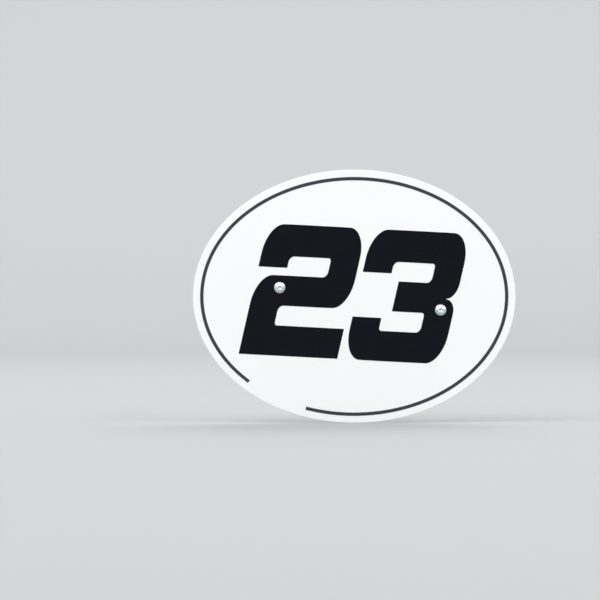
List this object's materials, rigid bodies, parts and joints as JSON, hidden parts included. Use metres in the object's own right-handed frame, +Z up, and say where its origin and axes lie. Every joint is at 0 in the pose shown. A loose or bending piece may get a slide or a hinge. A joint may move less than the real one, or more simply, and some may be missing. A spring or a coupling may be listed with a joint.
{
  "type": "side number plate",
  "caption": "Oval white race number plate for a motorbike's side, with a broken dark border stripe, slanted black numerals and threaded studs behind.",
  "frame": {"origin": "midway between the two studs, level with the lock nuts' rear faces, where the carrier bears", "axes": "+X to the right along the oval, +Y backwards out of the plate, along the studs, +Z up; the face with the numerals looks towards -Y"},
  "size_m": [0.27, 0.0226, 0.212],
  "materials": {
    "white_coating": "aluminium sheet with a smooth glossy white powder coat",
    "grey_film": "dark grey vinyl film, semi-gloss",
    "black_film": "black vinyl film, semi-gloss",
    "stainless_steel": "bright stainless steel, cold formed",
    "zinc_plating": "zinc-plated steel",
    "nylon": "natural nylon"
  },
  "bodies": {
    "root": {"number_plate": "white_coating", "border_stripe": "grey_film", "digit_two": "black_film", "digit_three": "black_film", "screw_left": "stainless_steel", "screw_right": "stainless_steel", "washer_left": "stainless_steel", "washer_right": "stainless_steel", "lock_nut_left": "zinc_plating", "lock_nut_right": "zinc_plating", "nylon_ring_left": "nylon", "nylon_ring_right": "nylon"}
  },
  "joints": []
}
